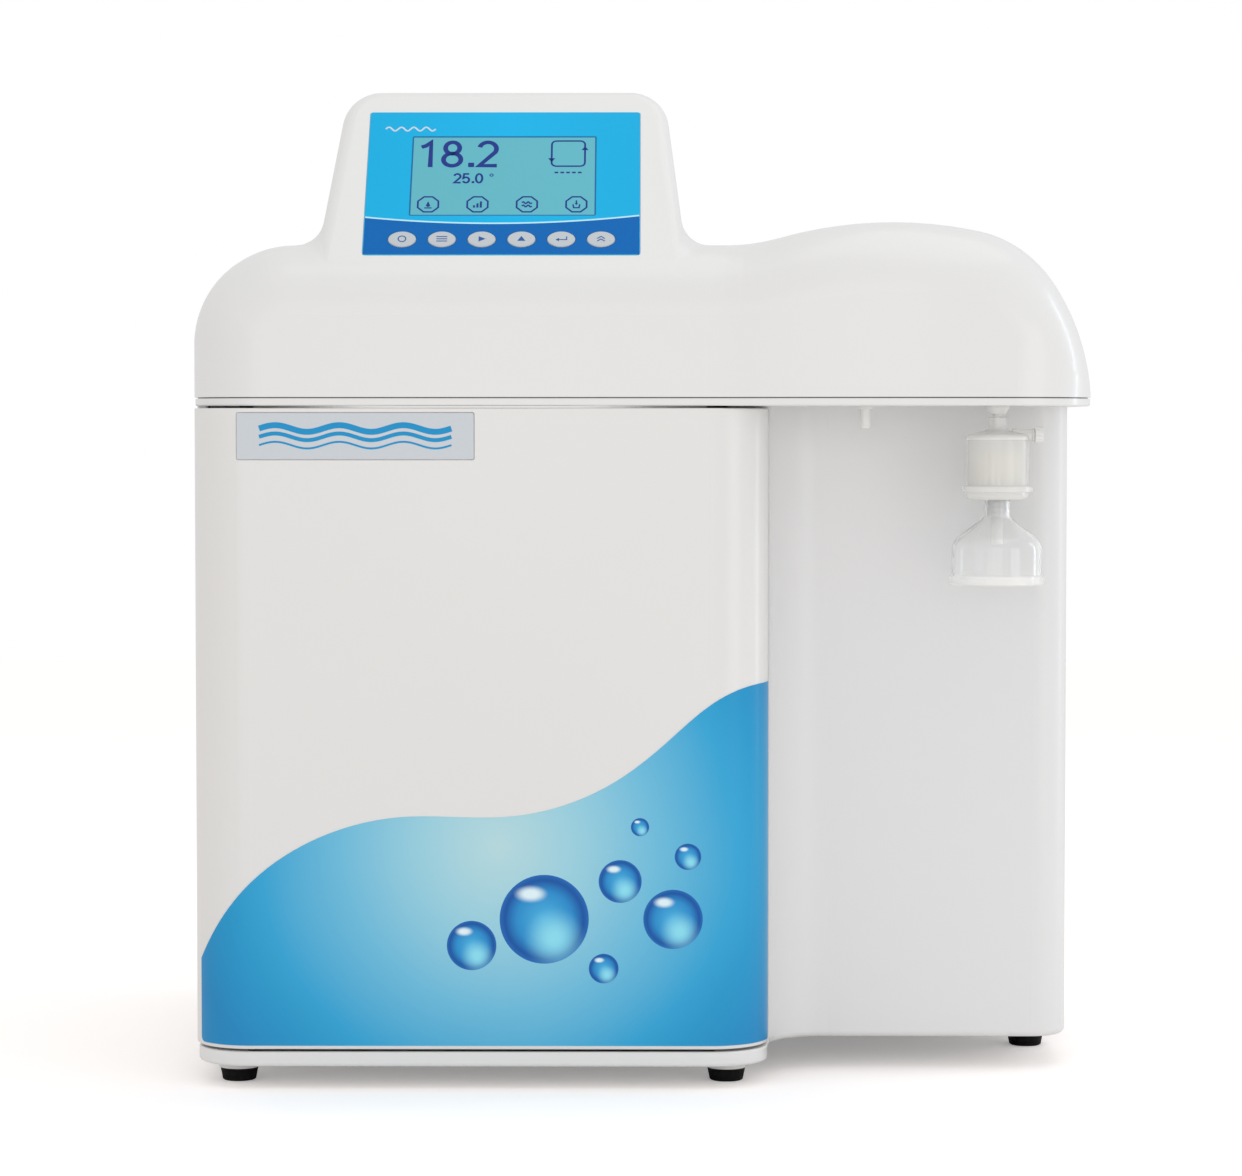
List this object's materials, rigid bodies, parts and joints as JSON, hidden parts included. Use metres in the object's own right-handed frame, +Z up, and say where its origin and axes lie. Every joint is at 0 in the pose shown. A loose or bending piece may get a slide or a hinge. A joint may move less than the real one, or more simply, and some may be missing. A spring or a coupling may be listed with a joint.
{
  "type": "ultrapure water system",
  "caption": "Bench-top ultrapure water system: white cabinet with hinged front door, domed cover with leaning display console, and a dispensing bay with hanging final filter.",
  "frame": {"origin": "on the floor under the middle of the machine's bounding box", "axes": "+X to the user's right, +Y to the rear, +Z up"},
  "size_m": [0.5505, 0.42, 0.612],
  "materials": {
    "cabinet_white": "gloss moulded plastic",
    "panel_white": "powder coat",
    "door_white": "gloss moulded plastic",
    "film_blue": "printed film",
    "foil_blue": "printed keypad foil",
    "badge_silver": "satin",
    "window_teal": "display pane",
    "key_silver": "silver painted",
    "rubber_black": "moulded rubber",
    "steel": "brushed",
    "zinc": "bright zinc",
    "board_green": "circuit board",
    "plastic_black": "moulded plastic",
    "plastic_grey": "moulded plastic",
    "plastic_white": "moulded plastic",
    "plastic_blue": "moulded plastic",
    "clear_plastic": "clear moulded plastic",
    "membrane_cream": "pleated membrane",
    "tube_white": "extruded tube",
    "brass": "contact"
  },
  "bodies": {
    "cabinet": {"top_cover": "cabinet_white", "console_foil": "foil_blue", "display_window": "window_teal", "display_module": "plastic_black", "keypad_board": "board_green", "key_switches": "plastic_black", "board_screws": "zinc", "deck_plate": "cabinet_white", "base_tray": "cabinet_white", "feet": "rubber_black", "foot_screws": "zinc", "left_panel": "panel_white", "bay_shell": "panel_white", "rear_panel": "panel_white", "panel_screws": "zinc", "door_magnets": "plastic_black", "hinge_pins": "steel", "outlet_coupler": "plastic_white", "hose_spout": "plastic_white", "outlet_nuts": "plastic_white", "partition_panel": "panel_white", "cartridge_clips": "plastic_white", "link_tubes": "tube_white", "feed_tube": "tube_white", "product_tube": "tube_white", "booster_pump": "plastic_black", "pump_bracket": "steel", "power_supply": "steel", "solenoid_valves": "plastic_white", "dispense_valve": "plastic_white", "outlet_tube": "tube_white", "conductivity_cell": "plastic_grey", "uv_reactor": "steel", "rear_fittings": "plastic_grey", "mains_inlet": "plastic_black", "inlet_blades": "brass", "pretreatment_cartridge": "plastic_white", "osmosis_cartridge": "plastic_white", "polishing_cartridge_left": "plastic_blue", "polishing_cartridge_right": "plastic_blue"},
    "door": {"front_door": "door_white", "door_film": "film_blue", "badge_plate": "badge_silver", "strike_plates": "steel"},
    "filter_capsule": {"capsule_shell": "clear_plastic", "pleated_membrane": "membrane_cream", "capsule_base": "clear_plastic"},
    "vent_knob": {"vent_knob": "plastic_white"},
    "filling_bell": {"filling_bell": "clear_plastic"},
    "switch_rocker": {"switch_rocker": "plastic_black"},
    "key_1": {"key_1": "key_silver"},
    "key_2": {"key_2": "key_silver"},
    "key_3": {"key_3": "key_silver"},
    "key_4": {"key_4": "key_silver"},
    "key_5": {"key_5": "key_silver"},
    "key_6": {"key_6": "key_silver"}
  },
  "joints": [
    {"name": "door_hinge", "type": "hinge", "parent": "cabinet", "child": "door", "pos_m": [-0.268, -0.158, 0.21885], "axis": [0, 0, -1], "range_deg": [0, 90]},
    {"name": "key_1_press", "type": "slide", "parent": "cabinet", "child": "key_1", "axis": [0, 0.7694, -0.6388], "range_m": [0, 0.0008], "stiffness_N_per_m": 2500, "springref_m": -0.0003},
    {"name": "key_2_press", "type": "slide", "parent": "cabinet", "child": "key_2", "axis": [0, 0.7694, -0.6388], "range_m": [0, 0.0008], "stiffness_N_per_m": 2500, "springref_m": -0.0003},
    {"name": "key_3_press", "type": "slide", "parent": "cabinet", "child": "key_3", "axis": [0, 0.7694, -0.6388], "range_m": [0, 0.0008], "stiffness_N_per_m": 2500, "springref_m": -0.0003},
    {"name": "key_4_press", "type": "slide", "parent": "cabinet", "child": "key_4", "axis": [0, 0.7694, -0.6388], "range_m": [0, 0.0008], "stiffness_N_per_m": 2500, "springref_m": -0.0003},
    {"name": "key_5_press", "type": "slide", "parent": "cabinet", "child": "key_5", "axis": [0, 0.7694, -0.6388], "range_m": [0, 0.0008], "stiffness_N_per_m": 2500, "springref_m": -0.0003},
    {"name": "key_6_press", "type": "slide", "parent": "cabinet", "child": "key_6", "axis": [0, 0.7694, -0.6388], "range_m": [0, 0.0008], "stiffness_N_per_m": 2500, "springref_m": -0.0003},
    {"name": "capsule_pull", "type": "slide", "parent": "cabinet", "child": "filter_capsule", "axis": [0, 0, -1], "range_m": [0, 0.02]},
    {"name": "vent_turn", "type": "hinge", "parent": "filter_capsule", "child": "vent_knob", "pos_m": [0.2416, -0.168, 0.3971], "axis": [1, 0, 0], "range_deg": [0, 90]},
    {"name": "bell_pull", "type": "slide", "parent": "filter_capsule", "child": "filling_bell", "axis": [0, 0, -1], "range_m": [0, 0.03]},
    {"name": "switch_tilt", "type": "hinge", "parent": "cabinet", "child": "switch_rocker", "pos_m": [0.151, 0.1915, 0.099], "axis": [-1, 0, 0], "range_deg": [0, 14]}
  ]
}
